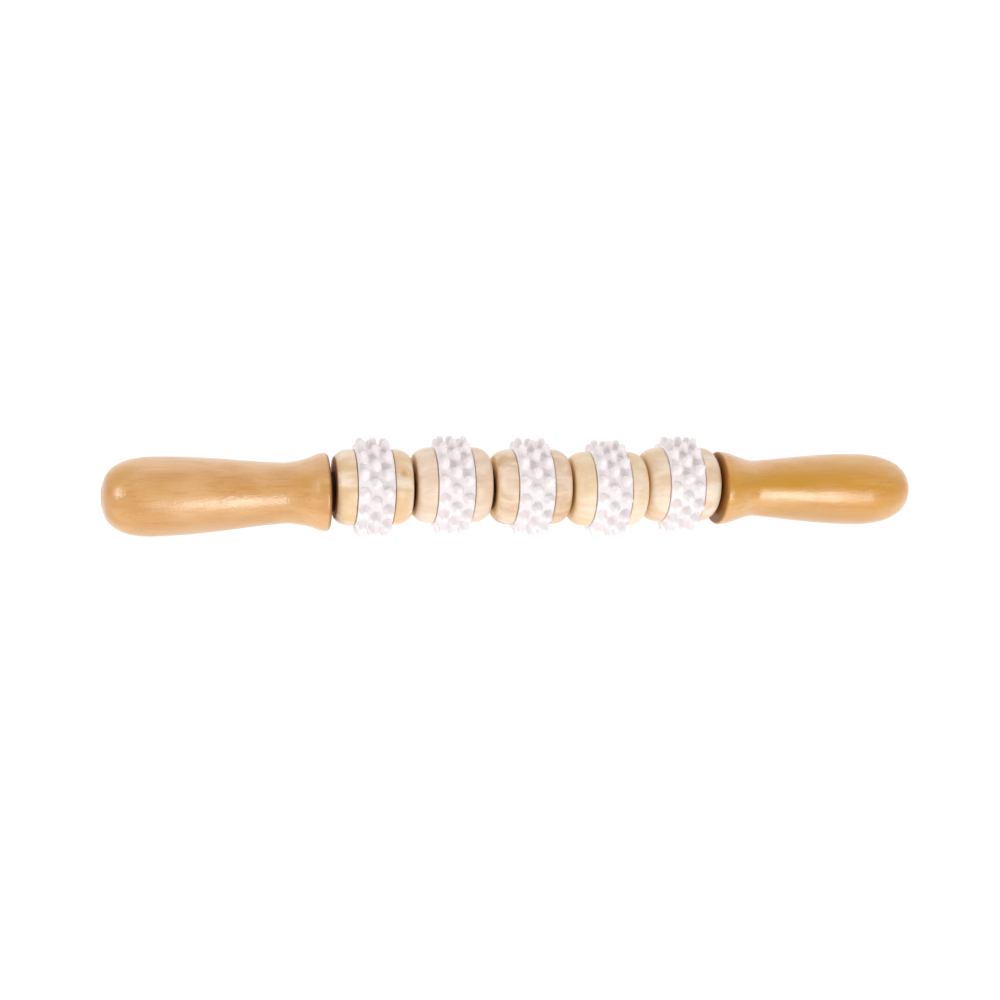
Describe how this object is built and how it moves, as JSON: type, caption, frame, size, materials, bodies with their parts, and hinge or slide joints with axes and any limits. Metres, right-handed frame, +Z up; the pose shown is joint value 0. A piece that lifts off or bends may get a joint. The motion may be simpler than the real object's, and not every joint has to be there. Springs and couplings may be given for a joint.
{
  "type": "wooden roller massager",
  "caption": "Hand-held massage stick: turned wooden rollers with white knobbed rubber bands spin on a steel rod between two turned wooden handles.",
  "frame": {"origin": "centre of the object's box: midway between the two handle ends, at the height of the rollers' centre lines", "axes": "+X runs along the axle from the left handle to the right handle, +Z is up, and the front faces -Y"},
  "size_m": [0.422, 0.054, 0.0502],
  "materials": {
    "handle_wood": "clear gloss varnish over golden straight-grained wood",
    "roller_wood": "smooth pale wood, lightly sealed, satin",
    "band_rubber": "matte white moulded soft rubber",
    "axle_steel": "drawn bright steel rod",
    "spacer_nylon": "black nylon"
  },
  "bodies": {
    "handles_and_axle": {"axle_rod": "axle_steel", "left_handle": "handle_wood", "right_handle": "handle_wood", "spacer_1": "spacer_nylon", "spacer_2": "spacer_nylon", "spacer_3": "spacer_nylon", "spacer_4": "spacer_nylon", "spacer_5": "spacer_nylon", "spacer_6": "spacer_nylon"},
    "roller_unit_1": {"roller_1": "roller_wood", "knobbed_band_1": "band_rubber"},
    "roller_unit_2": {"roller_2": "roller_wood", "knobbed_band_2": "band_rubber"},
    "roller_unit_3": {"roller_3": "roller_wood", "knobbed_band_3": "band_rubber"},
    "roller_unit_4": {"roller_4": "roller_wood", "knobbed_band_4": "band_rubber"},
    "roller_unit_5": {"roller_5": "roller_wood", "knobbed_band_5": "band_rubber"}
  },
  "joints": [
    {"name": "roller_1_spin", "type": "hinge", "parent": "handles_and_axle", "child": "roller_unit_1", "pos_m": [-0.07915, 0.0005, 0], "axis": [1, 0, 0], "continuous": true},
    {"name": "roller_2_spin", "type": "hinge", "parent": "handles_and_axle", "child": "roller_unit_2", "pos_m": [-0.03885, 0.0019, 0], "axis": [1, 0, 0], "continuous": true},
    {"name": "roller_3_spin", "type": "hinge", "parent": "handles_and_axle", "child": "roller_unit_3", "pos_m": [0.00185, 0.0001, 0], "axis": [1, 0, 0], "continuous": true},
    {"name": "roller_4_spin", "type": "hinge", "parent": "handles_and_axle", "child": "roller_unit_4", "pos_m": [0.04175, -0.0019, 0], "axis": [1, 0, 0], "continuous": true},
    {"name": "roller_5_spin", "type": "hinge", "parent": "handles_and_axle", "child": "roller_unit_5", "pos_m": [0.08155, 0.0013, 0], "axis": [1, 0, 0], "continuous": true}
  ]
}
